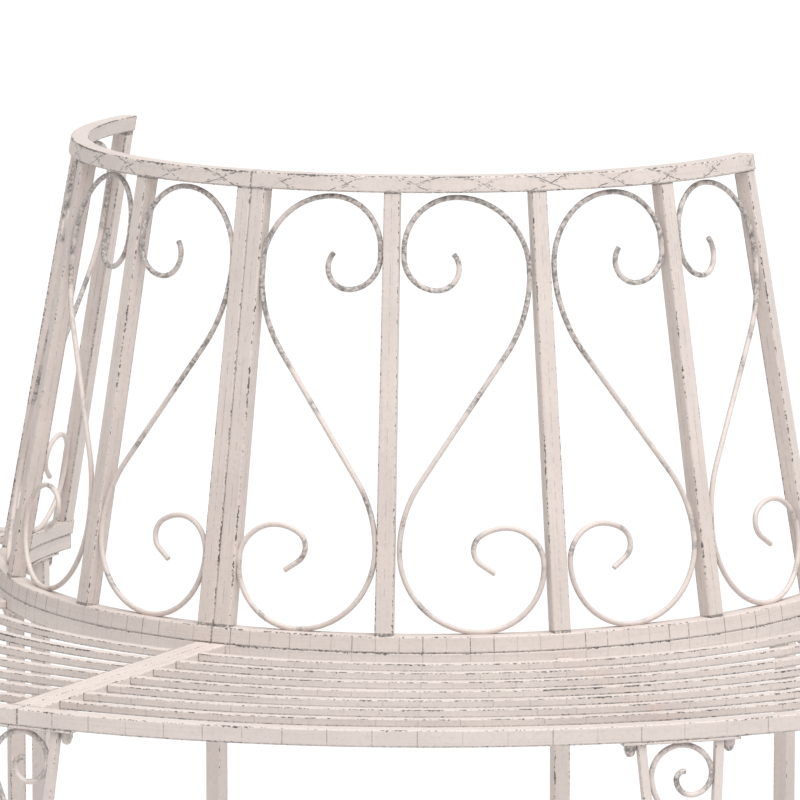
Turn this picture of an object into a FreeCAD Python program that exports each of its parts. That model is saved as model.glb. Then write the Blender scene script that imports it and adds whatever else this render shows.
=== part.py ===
import FreeCAD, Part
import os
from math import asin, atan2, ceil, cos, degrees, hypot, pi, radians, sin, tan

# Half-round tree bench in two quarter modules, joined at one seam. Millimetres.
# +Z is up, +X runs along the open straight side, and the round seat front faces -Y.
# The origin is the centre of the footprint on the ground.

Vector = FreeCAD.Vector

# Seat frame
seat_height = 450.0
seat_tube = 16.0
rim_radius = 800.0
ring_radius = 446.0
module_angle = 90.0

# Seat slats
slat_count = 7
slat_width = 10.0
slat_height = 6.5

# Back rails and posts, which lean in together as one cone
rail_tube = 18.0
rail_corner = 2.0
top_rail_radius = 366.0
top_rail_rise = 433.5
bay_count = 4
post_depth = 16.0
post_foot_width = 18.0
post_head_width = 15.5
post_corner = 1.5

# Rod of the scrolls, bent in arcs. Radii are at the middle of the rod.
rod_radius = 3.0
rod_sides = 6
bend_step = 24.0
bend_chord = 30.0
scroll_depth = 5.5
shoulder_radius = 49.0
shoulder_straight = 8.0
hook_radii = (32.0, 22.0)
hook_end_turn = 36.0
flank_drop = 72.0
first_flank_turn = 45.0
flank_straight = 6.0
stem_radii = (125.0, 110.0)
lower_flank_radius = 60.0
lower_curl_radii = (39.0, 27.0, 17.0)
lower_curl_end_turn = 64.0
lower_curl_tail = 11.0

# Front legs: a plate with two bars that meet at a foot, and a scroll between them
plate_thickness = 2.5
front_plate_length = 110.0
front_nut_spacing = 93.0
bar_size = 8.0
bar_head_spacing = 73.0
bar_foot_spacing = 10.0
front_leg_lean = 6.5
front_foot_radius = 17.0
front_foot_thickness = 5.0
front_foot_bevel = 1.25
front_foot_sides = 24
end_leg_inset = 8.0
leg_curl_radii = (26.0, 21.0, 15.0, 9.0)
leg_curl_end_turn = 36.0
leg_stem_radii = (100.0, 60.0)
leg_stem_drop = 175.0
leg_lower_radii = (19.0, 9.0)
leg_lower_end_turn = 20.0

# Rear legs: one upright square tube each, with a plate on top and a cap below
rear_plate_length = 70.0
rear_nut_spacing = 48.0
rear_leg_corner = 1.5
rear_leg_setback = 3.5
seam_rear_leg_angle = 0.4
cap_wall = 2.0
cap_floor = 3.0
cap_height = 16.0

# Studs and cap nuts
stud_radius = 3.0
stud_hole_clearance = 0.25
hole_run_out = 1.0
stud_sides = 12
nut_across_flats = 10.0
nut_hex_height = 6.0
nut_dome_radius = 4.7
nut_neck_height = 1.3
nut_bore_depth = 8.0
stud_end_clearance = 0.5

# Sizes that follow from the ones above
lean = atan2(ring_radius - top_rail_radius, top_rail_rise)
back_slope = hypot(ring_radius - top_rail_radius, top_rail_rise)
bay_angle = module_angle / bay_count
slat_pitch = (rim_radius - seat_tube - ring_radius) / (slat_count + 1)
frame_underside = seat_height - seat_tube
rim_middle = rim_radius - seat_tube / 2
ring_middle = ring_radius - seat_tube / 2
rear_leg_place = ring_middle - rear_leg_setback
plate_underside = frame_underside - plate_thickness
front_leg_run = plate_underside - front_foot_thickness
front_foot_place = rim_middle + front_leg_run * tan(radians(front_leg_lean))
axis_y = (front_foot_place + front_foot_radius) / 2


def radial(angle):
    """Unit vector that points out from the bench's axis. Zero degrees is the seat front."""
    return Vector(sin(radians(angle)), -cos(radians(angle)), 0)


def tangent(angle):
    """Unit vector along the round, towards growing angles."""
    return Vector(cos(radians(angle)), sin(radians(angle)), 0)


def at(radius, angle, height):
    """Point at a radius and an angle about the bench's axis."""
    return Vector(0, axis_y, height) + radial(angle) * radius


def face_of(points):
    return Part.Face(Part.makePolygon(points + points[:1]))


def turned(section, start, sweep):
    """Solid of a section, given as radius and height pairs, turned about the bench's axis."""
    face = face_of([at(radius, start, height) for radius, height in section])
    solid = face.revolve(Vector(0, axis_y, 0), Vector(0, 0, 1), sweep)
    return Part.makeSolid(solid.Shells[0]) if solid.ShapeType != "Solid" else solid


def box_section(outer, top, width, height):
    return [(outer - width, top - height), (outer, top - height), (outer, top), (outer - width, top)]


def broken_square(left, right, near, far, corner):
    """Corners of a square tube's section, each one broken by a small flat."""
    return [(left, near + corner), (left + corner, near), (right - corner, near), (right, near + corner),
            (right, far - corner), (right - corner, far), (left + corner, far), (left, far - corner)]


def leaning_section(outer, foot):
    """Back rail's section, which leans with the back. It is set out inward and up the slope."""
    corners = broken_square(0, rail_tube, 0, rail_tube, rail_corner)
    return [(outer - inward * cos(lean) - up * sin(lean), foot - inward * sin(lean) + up * cos(lean))
            for inward, up in corners]


def back_point(angle, along, up, inward):
    """Point on the back: along the round, up the slope and inward from the outer face."""
    foot = at(ring_radius, angle, seat_height)
    slope = Vector(0, 0, cos(lean)) - radial(angle) * sin(lean)
    outward = radial(angle) * cos(lean) + Vector(0, 0, sin(lean))
    return foot + tangent(angle) * along + slope * up - outward * inward


def post_width(up):
    share = (up - rail_tube) / (back_slope - rail_tube)
    return post_foot_width + (post_head_width - post_foot_width) * share


def post_sides(index, up):
    """Left and right side of a post along the round. End posts stay inside their module."""
    width = post_width(up)
    if index == 0:
        return 0.0, width
    if index == bay_count:
        return -width, 0.0
    return -width / 2, width / 2


def back_post(index, start, rails):
    """Tapered tube between the back rails, with ends shaped to the rails' faces."""
    angle = start + index * bay_angle
    bite = rail_tube / 4
    inset = (rail_tube - post_depth) / 2
    ends = []
    for up in (rail_tube - bite, back_slope + bite):
        left, right = post_sides(index, up)
        section = broken_square(left, right, inset, inset + post_depth, post_corner)
        points = [back_point(angle, along, up, inward) for along, inward in section]
        ends.append(Part.makePolygon(points + points[:1]))
    post = Part.makeLoft(ends, True, True)
    for rail in rails:
        post = post.cut(rail)
    return max(post.Solids, key=lambda solid: solid.Volume)


def walk(start, heading, moves):
    """Points of a bent rod's path. A move is a radius, where a left turn is positive, and an
    angle, or no radius and a length."""
    x, y = start
    points = [(x, y)]
    for radius, amount in moves:
        if radius is None:
            x += amount * cos(radians(heading))
            y += amount * sin(radians(heading))
            points.append((x, y))
            continue
        side = 1 if radius > 0 else -1
        centre = (x - radius * sin(radians(heading)), y + radius * cos(radians(heading)))
        steps = ceil(max(amount / bend_step, abs(radius) * radians(amount) / bend_chord) - 0.01)
        for _ in range(steps):
            heading += side * amount / steps
            x = centre[0] + radius * sin(radians(heading))
            y = centre[1] - radius * cos(radians(heading))
            points.append((x, y))
    return points


def rod(points, plane):
    """Rod along a path in a plane, with its bends cut as mitres."""
    origin, across, upward = plane
    normal = across.cross(upward)
    places = [origin + across * x + upward * y for x, y in points]
    sections = []
    for index, place in enumerate(places):
        ahead = places[min(index + 1, len(places) - 1)] - place
        behind = place - places[max(index - 1, 0)]
        if ahead.Length > 0:
            ahead.normalize()
        if behind.Length > 0:
            behind.normalize()
        along = (ahead + behind).normalize()
        side = normal.cross(along).normalize()
        single = ahead if ahead.Length > 0 else behind
        stretch = 1 / along.dot(single)
        ring = []
        for corner in range(rod_sides):
            angle = 2 * pi * (corner + 0.5) / rod_sides
            reach = rod_radius / cos(pi / rod_sides)
            ring.append(place + side * (reach * cos(angle) * stretch) + normal * (reach * sin(angle)))
        sections.append(Part.makePolygon(ring + ring[:1]))
    return Part.makeLoft(sections, True, True)


def rod_reach(tilt, bend=0.0):
    """Distance from a rod's middle to a face it lies against, tilted from the plane's own
    direction, for a straight rod or at the crest of a bend."""
    corner = pi / rod_sides
    return rod_radius / cos(corner) * cos(corner - radians(tilt)) / cos(radians(bend / 2))


def stem_moves(start, start_heading, end, end_heading, radii):
    """A left bend, a straight and a right bend that join two places, each with its heading."""
    first, second = radii
    left = radians(start_heading + 90)
    right = radians(end_heading - 90)
    x = end[0] + second * cos(right) - start[0] - first * cos(left)
    y = end[1] + second * sin(right) - start[1] - first * sin(left)
    straight = (x * x + y * y - (first + second) ** 2) ** 0.5
    heading = degrees(atan2(y, x) + atan2(first + second, straight))
    return [(first, heading - start_heading), (None, straight), (-second, heading - end_heading)]


def bay_plane(first, start):
    """Plane between a bay's two posts that the middle of its scroll runs in."""
    middle = start + (first + 0.5) * bay_angle
    half = radians(bay_angle / 2)
    ends = []
    for up in (0.0, back_slope):
        place = back_point(0, 0, up, scroll_depth) - Vector(0, axis_y, 0)
        ends.append(at(-place.y * cos(half), middle, place.z))
    return ends[0], tangent(middle), (ends[1] - ends[0]).normalize()


def touch_line(plane, index, side, start):
    """Where a rod's middle runs when it lies against a post's side: place and slant."""
    origin, across, upward = plane
    angle = start + index * bay_angle
    places = []
    for up in (rail_tube, back_slope):
        edge = post_sides(index, up)[side]
        places.append(back_point(angle, edge, up, scroll_depth))
    outward = radial(angle) * cos(lean) + Vector(0, 0, sin(lean))
    face_normal = (places[1] - places[0]).cross(outward).normalize()
    if face_normal.dot(tangent(angle)) * (1 if side == 1 else -1) < 0:
        face_normal = face_normal * -1
    reach = rod_reach(bay_angle / 2)
    spots = []
    for height in (0.0, back_slope):
        base = origin + upward * height
        spots.append((reach - (base - places[0]).dot(face_normal)) / across.dot(face_normal))
    return spots[0], (spots[1] - spots[0]) / back_slope


def rail_touch(plane, x, facing):
    """Height up a bay's plane where a rod lies against a rail: 1 the top one, -1 the bottom one."""
    origin, across, upward = plane
    rail_face = back_slope if facing > 0 else rail_tube
    corner = (ring_radius - rail_face * sin(lean), seat_height + rail_face * cos(lean))
    height = rail_face
    for _ in range(8):
        place = origin + across * x + upward * height - Vector(0, axis_y, 0)
        level = corner[1] - (corner[0] - hypot(place.x, place.y)) * tan(lean)
        gap = (level - place.z) * cos(lean) * facing
        height += (gap - rod_reach(0, bend_step)) * facing
    return height


def back_scroll(bay, start, hook_right):
    """S scroll of one bay. Its hooked end lies beside the odd post, and it touches both rails
    and both posts twice."""
    origin, across, upward = bay_plane(bay, start)
    near, far = (bay + 1, 0), (bay, 1)
    if not hook_right:
        near, far = far, near
        across = across * -1
    plane = (origin, across, upward)
    near_place, near_slant = touch_line(plane, near[0], near[1], start)
    far_place, far_slant = touch_line(plane, far[0], far[1], start)

    near_lean, far_lean = atan2(-near_slant, 1), atan2(far_slant, 1)

    # The shoulder runs from the near post up to the top rail
    top_x = 0.0
    for _ in range(4):
        top = rail_touch(plane, top_x, 1)
        fall = shoulder_radius * (1 - sin(near_lean))
        top_x = near_place + near_slant * (top - fall) - shoulder_radius * cos(near_lean)

    # From there the flank comes down to the far post in two bends, the second one wider
    across_flank = top_x - far_place - far_slant * (top - flank_drop)
    half_turn, whole_turn = radians(first_flank_turn), pi / 2 - far_lean
    rise = cos(half_turn) - cos(whole_turn)
    reach = sin(whole_turn) - sin(half_turn)
    first_flank = (across_flank * rise - flank_drop * reach) / (
        sin(half_turn) * rise - (1 - cos(half_turn)) * reach)
    second_flank = (across_flank - first_flank * sin(half_turn)) / reach

    # The foot lies against the far post, the bottom rail and the near post
    bottom_x = 0.0
    for _ in range(4):
        bottom = rail_touch(plane, bottom_x, -1)
        far_height = bottom + lower_flank_radius * (1 + sin(far_lean))
        bottom_x = far_place + far_slant * far_height + lower_flank_radius * cos(far_lean)
    turn_in = (near_place + near_slant * bottom - bottom_x) / (
        cos(near_lean) - near_slant * (1 + sin(near_lean)))

    height = top - flank_drop - flank_straight * cos(far_lean)
    stem_start = (far_place + far_slant * height, height)
    height = bottom + turn_in * (1 + sin(near_lean))
    stem_end = (near_place + near_slant * height, height)
    near_turn, far_turn = degrees(near_lean), degrees(far_lean)
    hook = [(-shoulder_radius, 90 - near_turn), (None, shoulder_straight)]
    hook += [(-hook_radii[0], 90 + near_turn), (-hook_radii[1], 90 + hook_end_turn)]
    second_flank_turn = 90 - first_flank_turn - far_turn
    stem = [(first_flank, first_flank_turn), (second_flank, second_flank_turn), (None, flank_straight)]
    stem += stem_moves(stem_start, -90 - far_turn, stem_end, -90 + near_turn, stem_radii)
    stem += [(-turn_in, 90 + near_turn), (-lower_flank_radius, 90 + far_turn)]
    stem += [(-lower_curl_radii[0], 90 - far_turn), (-lower_curl_radii[1], 90)]
    stem += [(-lower_curl_radii[2], lower_curl_end_turn), (None, lower_curl_tail)]
    first_half = walk((top_x, top), 0, hook)
    second_half = walk((top_x, top), 180, stem)
    return rod(first_half[::-1] + second_half[1:], plane)


def bearer(angle, left, right, top, height):
    """Radial tube between the ring and the rim, with ends shaped to their round faces."""
    blank = face_of([at(ring_radius / 2, angle, top) + tangent(angle) * left,
                     at(ring_radius / 2, angle, top) + tangent(angle) * right,
                     at(rim_radius, angle, top) + tangent(angle) * right,
                     at(rim_radius, angle, top) + tangent(angle) * left])
    blank = blank.extrude(Vector(0, 0, -height))
    foot = Vector(0, axis_y, top - height)
    outer = Part.makeCylinder(rim_radius - seat_tube, height, foot)
    inner = Part.makeCylinder(ring_radius, height, foot)
    return blank.common(outer.cut(inner))


def seat_slat(number, start):
    """Flat bar bent to the round, with square ends against the end tubes' sides."""
    inner = ring_radius + number * slat_pitch
    outer = inner + slat_width
    slat = turned(box_section(outer, seat_height, slat_width, slat_height), start, module_angle)
    for angle, sign in ((start, 1), (start + module_angle, -1)):
        edge = tangent(angle) * sign * seat_tube
        back = tangent(angle) * -sign * seat_tube
        tool = face_of([at(ring_radius / 2, angle, 0) + back, at(ring_radius / 2, angle, 0) + edge,
                        at(rim_radius, angle, 0) + edge, at(rim_radius, angle, 0) + back])
        slat = slat.cut(tool.extrude(Vector(0, 0, seat_height + seat_tube)))
    return slat.Solids[0]


def nut_angles(angle, radius, spacing):
    half = degrees(asin(spacing / 2 / radius))
    return angle - half, angle + half


def leg_plate(angle, middle, length, spacing):
    """Thin plate below the seat frame that follows the round, with a hole for each stud."""
    sweep = degrees(length / middle)
    section = box_section(middle + seat_tube / 2, frame_underside, seat_tube, plate_thickness)
    plate = turned(section, angle - sweep / 2, sweep)
    reach = stud_radius + stud_hole_clearance
    for hole in nut_angles(angle, middle, spacing):
        place = at(middle, hole, plate_underside)
        drill = [(reach, -hole_run_out), (reach, plate_thickness + hole_run_out)]
        plate = plate.cut(stacked(place, 0, stud_sides, drill))
    return plate


def front_bar(angle, side):
    """One slanted bar of a front leg, from the plate down to the foot."""
    head = at(rim_middle, angle, plate_underside) + tangent(angle) * side * bar_head_spacing / 2
    foot = at(front_foot_place, angle, front_foot_thickness) + tangent(angle) * side * bar_foot_spacing / 2
    half = bar_size / 2
    corners = [head + tangent(angle) * a * half + radial(angle) * b * half
               for a, b in ((-1, -1), (1, -1), (1, 1), (-1, 1))]
    return face_of(corners).extrude(foot - head)


def stacked(place, turn, sides, rings, tip=None):
    """Round body made of flats: rings of one radius and height each, and a tip where it closes."""
    levels = []
    for radius, height in rings:
        points = [place + radial(turn + 360 * side / sides) * radius + Vector(0, 0, height)
                  for side in range(sides)]
        levels.append(Part.makePolygon(points + points[:1]))
    if tip is not None:
        levels.append(Part.Vertex(place + Vector(0, 0, tip)))
    return Part.makeLoft(levels, True, True)


def front_foot(angle):
    top = front_foot_thickness
    rings = [(front_foot_radius, 0), (front_foot_radius, top - front_foot_bevel),
             (front_foot_radius - front_foot_bevel, top)]
    return stacked(at(front_foot_place, angle, 0), angle, front_foot_sides, rings)


def front_scroll(angle):
    """S scroll between a front leg's bars: a closed curl under the plate and a small one below."""
    slope = radians(front_leg_lean)
    upward = Vector(0, 0, cos(slope)) - radial(angle) * sin(slope)
    plane = (at(rim_middle, angle, plate_underside), tangent(angle), upward)
    slant = (bar_head_spacing - bar_foot_spacing) / 2 / (front_leg_run / cos(slope))
    lean_in = atan2(slant, 1)
    half_gap = bar_head_spacing / 2 - bar_size / 2 - rod_reach(0, bend_step) / cos(lean_in)
    top = -rod_reach(front_leg_lean, bend_step) / cos(slope)
    spread = (1 + sin(lean_in)) / cos(lean_in)
    top_x = half_gap + slant * top - leg_curl_radii[0] * spread
    flank = (half_gap + slant * top + top_x) / spread
    stem_start = (top_x - flank * cos(lean_in), top - flank * (1 + sin(lean_in)))
    low = top - leg_stem_drop
    stem_end = (half_gap + slant * low, low)
    inward = degrees(lean_in)
    curl = [(-leg_curl_radii[0], 90 + inward), (-leg_curl_radii[1], 90 - inward)]
    curl += [(-leg_curl_radii[2], 90), (-leg_curl_radii[3], 90 + leg_curl_end_turn)]
    stem = [(flank, 90 + inward)]
    stem += stem_moves(stem_start, -90 + inward, stem_end, -90 - inward, leg_stem_radii)

    # The small curl lies against the other bar before it closes
    x = stem_end[0] - leg_lower_radii[0] * cos(lean_in)
    y = stem_end[1] - leg_lower_radii[0] * (1 - sin(lean_in))
    turn_out = (x + half_gap + slant * y) / (cos(lean_in) - slant * (1 - sin(lean_in)))
    stem += [(-leg_lower_radii[0], 90 - inward), (-turn_out, 90 - inward)]
    stem += [(-leg_lower_radii[1], 90 + inward + leg_lower_end_turn)]
    first_half = walk((top_x, top), 0, curl)
    second_half = walk((top_x, top), 180, stem)
    return rod(first_half[::-1] + second_half[1:], plane)


def square_at(angle, middle, size, height):
    half = size / 2
    return [at(middle, angle, height) + tangent(angle) * a * half + radial(angle) * b * half
            for a, b in ((-1, -1), (1, -1), (1, 1), (-1, 1))]


def rear_leg(angle):
    half = seat_tube / 2
    foot = at(rear_leg_place, angle, cap_floor)
    section = broken_square(-half, half, -half, half, rear_leg_corner)
    post = face_of([foot + tangent(angle) * along + radial(angle) * outward for along, outward in section])
    return post.extrude(Vector(0, 0, plate_underside - cap_floor))


def rear_cap(angle):
    """Cap that the foot of a rear leg stands in."""
    outside = face_of(square_at(angle, rear_leg_place, seat_tube + 2 * cap_wall, 0))
    pocket = face_of(square_at(angle, rear_leg_place, seat_tube, cap_floor))
    return outside.extrude(Vector(0, 0, cap_height)).cut(pocket.extrude(Vector(0, 0, cap_height)))


def stud(place):
    length = plate_thickness + nut_bore_depth - stud_end_clearance
    return stacked(place, 0, stud_sides, [(stud_radius, -length), (stud_radius, 0)])


def cap_nut(place, angle):
    """Hexagon nut with a domed end, which hangs below its plate."""
    top = -plate_thickness
    hexagon = nut_across_flats / 2 / cos(pi / 6)
    nut = stacked(place, angle, 6, [(hexagon, top - nut_hex_height), (hexagon, top)])
    neck = top - nut_hex_height - nut_neck_height
    rings = [(nut_dome_radius, top - nut_hex_height)]
    for rise in (0, 30, 60):
        rings.append((nut_dome_radius * cos(radians(rise)), neck - nut_dome_radius * sin(radians(rise))))
    nut = nut.fuse(stacked(place, 0, stud_sides, rings, neck - nut_dome_radius)).removeSplitter()
    return nut.cut(stacked(place, 0, stud_sides, [(stud_radius, top - nut_bore_depth), (stud_radius, top)]))


def save(name, solids):
    shape = solids[0] if len(solids) == 1 else Part.makeCompound(solids)
    shape.exportStep(os.path.join("parts", name + ".step"))
    print(name, len(solids), all(solid.isValid() for solid in solids))


def build_module(name, start, sign):
    """One quarter of the bench. The seam is at zero degrees, on the side given by the sign."""
    bottom_rail = turned(leaning_section(ring_radius, seat_height), start, module_angle)
    below = Part.makeCylinder(rim_radius, rail_tube, Vector(0, axis_y, seat_height - rail_tube))
    bottom_rail = bottom_rail.cut(below).Solids[0]
    top_rail = turned(leaning_section(top_rail_radius, seat_height + top_rail_rise), start, module_angle)
    save(name + "_top_rail", [top_rail])
    save(name + "_bottom_rail", [bottom_rail])
    save(name + "_seat_ring", [turned(box_section(ring_radius, seat_height, seat_tube, seat_tube),
                                      start, module_angle)])
    save(name + "_seat_rim", [turned(box_section(rim_radius, seat_height, seat_tube, seat_tube),
                                     start, module_angle)])
    inner, outer = (0.0, seat_tube) if sign > 0 else (-seat_tube, 0.0)
    save(name + "_seam_bearer", [bearer(0, inner, outer, seat_height, seat_tube)])
    save(name + "_end_bearer", [bearer(sign * module_angle, -outer, -inner, seat_height, seat_tube)])
    save(name + "_middle_bearer", [bearer(sign * module_angle / 2, -seat_tube / 2, seat_tube / 2,
                                          seat_height - slat_height, seat_tube - slat_height)])
    for number in range(1, slat_count + 1):
        save(f"{name}_seat_slat_{number}", [seat_slat(number, start)])
    for number in range(bay_count + 1):
        index = number if sign > 0 else bay_count - number
        save(f"{name}_back_post_{number + 1}", [back_post(index, start, (bottom_rail, top_rail))])
    for number in range(bay_count):
        bay = number if sign > 0 else bay_count - 1 - number
        hook_right = (number % 2 == 0) == (sign > 0)
        save(f"{name}_back_scroll_{number + 1}", [back_scroll(bay, start, hook_right)])


os.makedirs("parts", exist_ok=True)
build_module("right", 0.0, 1)
build_module("left", -module_angle, -1)

end_angle = module_angle - end_leg_inset
leg_angles = (-end_angle, -module_angle / 2, 0.0, module_angle / 2, end_angle)
rear_angles = leg_angles[:2] + (seam_rear_leg_angle,) + leg_angles[3:]
for number, angle in enumerate(leg_angles, start=1):
    plate = leg_plate(angle, rim_middle, front_plate_length, front_nut_spacing)
    bars = [front_bar(angle, -1), front_bar(angle, 1)]
    save(f"front_leg_{number}", [plate] + bars + [front_foot(angle)])
save("front_leg_scrolls", [front_scroll(angle) for angle in leg_angles])
for number, angle in enumerate(rear_angles, start=1):
    save(f"rear_leg_{number}", [leg_plate(angle, ring_middle, rear_plate_length, rear_nut_spacing),
                                rear_leg(angle)])
save("rear_leg_caps", [rear_cap(angle) for angle in rear_angles])

fastener_places = []
for angles, middle, spacing in ((leg_angles, rim_middle, front_nut_spacing),
                                (rear_angles, ring_middle, rear_nut_spacing)):
    for angle in angles:
        for hole in nut_angles(angle, middle, spacing):
            fastener_places.append((at(middle, hole, frame_underside), hole))
save("leg_studs", [stud(place) for place, hole in fastener_places])
save("leg_cap_nuts", [cap_nut(place, hole) for place, hole in fastener_places])
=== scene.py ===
from itertools import count
from math import asin, atan, atan2, ceil, cos, degrees, hypot, pi, radians, sin, tan

import bmesh
import bpy
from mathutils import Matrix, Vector


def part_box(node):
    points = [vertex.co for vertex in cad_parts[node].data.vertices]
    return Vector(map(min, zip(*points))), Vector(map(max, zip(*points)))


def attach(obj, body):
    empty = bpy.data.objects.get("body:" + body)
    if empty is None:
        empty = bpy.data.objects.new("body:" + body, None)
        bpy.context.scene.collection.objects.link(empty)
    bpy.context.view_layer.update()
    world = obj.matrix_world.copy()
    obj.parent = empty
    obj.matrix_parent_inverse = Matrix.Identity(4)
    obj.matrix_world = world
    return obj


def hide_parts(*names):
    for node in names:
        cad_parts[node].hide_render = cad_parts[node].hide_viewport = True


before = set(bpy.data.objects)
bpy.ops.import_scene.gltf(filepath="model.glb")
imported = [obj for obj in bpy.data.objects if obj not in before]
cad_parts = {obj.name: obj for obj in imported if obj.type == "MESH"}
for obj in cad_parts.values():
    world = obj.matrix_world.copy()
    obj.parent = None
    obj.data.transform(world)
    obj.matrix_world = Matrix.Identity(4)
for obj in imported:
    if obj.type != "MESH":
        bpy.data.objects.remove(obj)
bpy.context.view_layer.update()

# The view: a long lens from a little above, 28 degrees round to the right from the middle of the
# seat. Angles are in degrees about the bench's own upright axis, where the round rails have
# their centre, and lengths are in metres.
axis = Vector((0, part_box("right_end_bearer")[1].y, 0))
view_azimuth = 28.146
view_distance = 6.34132
view_height = 1.6245
view_pitch = 8.9536
view_pan = 0.2687
lens_millimetres = 282.66
sensor_millimetres = 36
view_reach = 200


def radial(angle):
    """Level unit vector out from the bench's axis. Zero degrees is the front of the seat."""
    return Vector((sin(radians(angle)), -cos(radians(angle)), 0))


def tangent(angle):
    """Level unit vector along the round, towards growing angles."""
    return Vector((cos(radians(angle)), sin(radians(angle)), 0))


def place_at(angle, radius, height):
    """Place at a distance from the bench's axis."""
    return axis + radial(angle) * radius + Vector((0, 0, height))


camera_data = bpy.data.cameras.new("camera")
camera_data.lens = lens_millimetres
camera_data.sensor_fit = "HORIZONTAL"
camera_data.sensor_width = sensor_millimetres
camera_data.clip_end = view_reach
camera = bpy.data.objects.new("camera", camera_data)
camera.location = place_at(view_azimuth, view_distance, view_height)
camera.rotation_euler = (radians(90 - view_pitch), 0, radians(view_azimuth + view_pan))
bpy.context.collection.objects.link(camera)
bpy.context.scene.camera = camera
bpy.context.scene.view_settings.view_transform = "Standard"


# The four back rails: square steel tube, rolled to a circle. The outer and inner faces lean with
# the back, while the top and the bottom are level. Two quarters meet at the seam. The bender has
# left 32 short flats in each, and the cream paint is rubbed through along the corners.
rail_tube = 0.018
rail_height = 0.016
rail_corner = 0.0014
ring_radius = 0.446
seat_height = 0.450
top_rail_radius = 0.366
top_rail_rise = 0.4335
back_slope = hypot(ring_radius - top_rail_radius, top_rail_rise)
lean_sin = (ring_radius - top_rail_radius) / back_slope
lean_cos = top_rail_rise / back_slope
corner_steps = 4
bend_steps = 160
facet_angle = 90 / 32
# From and to in degrees from the seam, and the number of flats between
facet_runs = ((0.0, 18.6, 7), (18.6, 71.4, 18), (71.4, 90.0, 7))
# Stands for the distance to an edge or an end where none is near
no_edge_near = 1.0


def node(tree, kind, inputs=None, **settings):
    """Adds a node. Inputs go by name or number and are plain values, nodes or their outputs."""
    made = tree.nodes.new(kind)
    for key, value in settings.items():
        setattr(made, key, value)
    for key, value in (inputs or {}).items():
        if isinstance(value, bpy.types.Node):
            value = value.outputs[0]
        if isinstance(value, bpy.types.NodeSocket):
            tree.links.new(value, made.inputs[key])
        else:
            made.inputs[key].default_value = value
    return made


def paint(code):
    """Linear colour of an sRGB hex value."""
    parts = [int(code[place:place + 2], 16) / 255 for place in (1, 3, 5)]
    return [c / 12.92 if c <= 0.04045 else ((c + 0.055) / 1.055) ** 2.4 for c in parts] + [1]


def math_node(tree, operation, first, second=0.0):
    """Adds a sum of one or two values."""
    return node(tree, "ShaderNodeMath", {0: first, 1: second}, operation=operation)


def ramp(tree, value, low, high, start=0.0, end=1.0):
    """Smooth step of a value from one size to another."""
    return node(tree, "ShaderNodeMapRange", {"Value": value, "From Min": low, "From Max": high,
                                            "To Min": start, "To Max": end},
                interpolation_type="SMOOTHSTEP")


def mixed(tree, factor, first, second):
    """Mixes two colours."""
    return node(tree, "ShaderNodeMix", {"Factor": factor, "A": first, "B": second},
                data_type="RGBA").outputs["Result"]


def new_material(name):
    """New material, its node tree and the inputs of its shader."""
    material = bpy.data.materials.new(name)
    material.use_nodes = True
    return material, material.node_tree, material.node_tree.nodes["Principled BSDF"].inputs


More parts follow.
